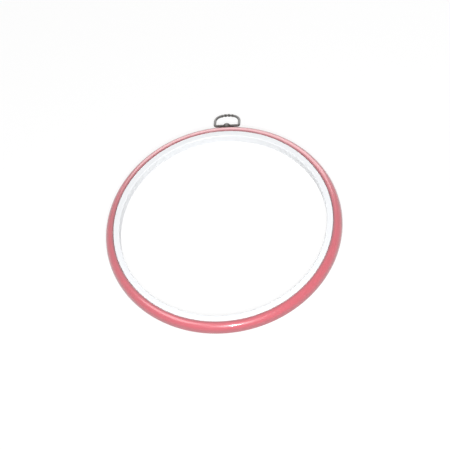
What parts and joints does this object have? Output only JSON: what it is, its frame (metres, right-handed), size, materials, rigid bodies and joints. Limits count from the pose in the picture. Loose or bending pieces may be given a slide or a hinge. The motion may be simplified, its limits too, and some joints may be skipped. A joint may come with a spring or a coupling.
{
  "type": "embroidery hoop",
  "caption": "Round stretch-on embroidery hoop: a rigid inner ring inside a flexible outer ring, with a rope-twist bail hinged on a domed stud for hanging.",
  "frame": {"origin": "middle of the inner ring's bore, on the plane of the ring's base", "axes": "+Z along the bore, from the base up to the face that the cloth lies on; +Y from the middle towards the hanger"},
  "size_m": [0.1922, 0.2064, 0.0084],
  "materials": {
    "white_plastic": "moulded polystyrene, satin gloss, white",
    "pink_vinyl": "flexible vinyl, glossy as moulded, rose pink",
    "dark_metal": "zinc casting with a dark antique nickel finish",
    "washer_steel": "plain steel, zinc plated"
  },
  "bodies": {
    "inner_ring": {"inner_ring": "white_plastic"},
    "outer_ring": {"outer_ring": "pink_vinyl", "hanger_stud": "dark_metal", "stud_washer": "washer_steel"},
    "bail": {"hanger_bail": "dark_metal"}
  },
  "joints": [
    {"name": "outer_ring_lift", "type": "slide", "parent": "inner_ring", "child": "outer_ring", "axis": [0, 0, 1], "range_m": [0, 0.025]},
    {"name": "bail_swing", "type": "hinge", "parent": "outer_ring", "child": "bail", "pos_m": [0, 0.0971, 0.0036], "axis": [1, 0, 0], "range_deg": [-68, 135]}
  ]
}
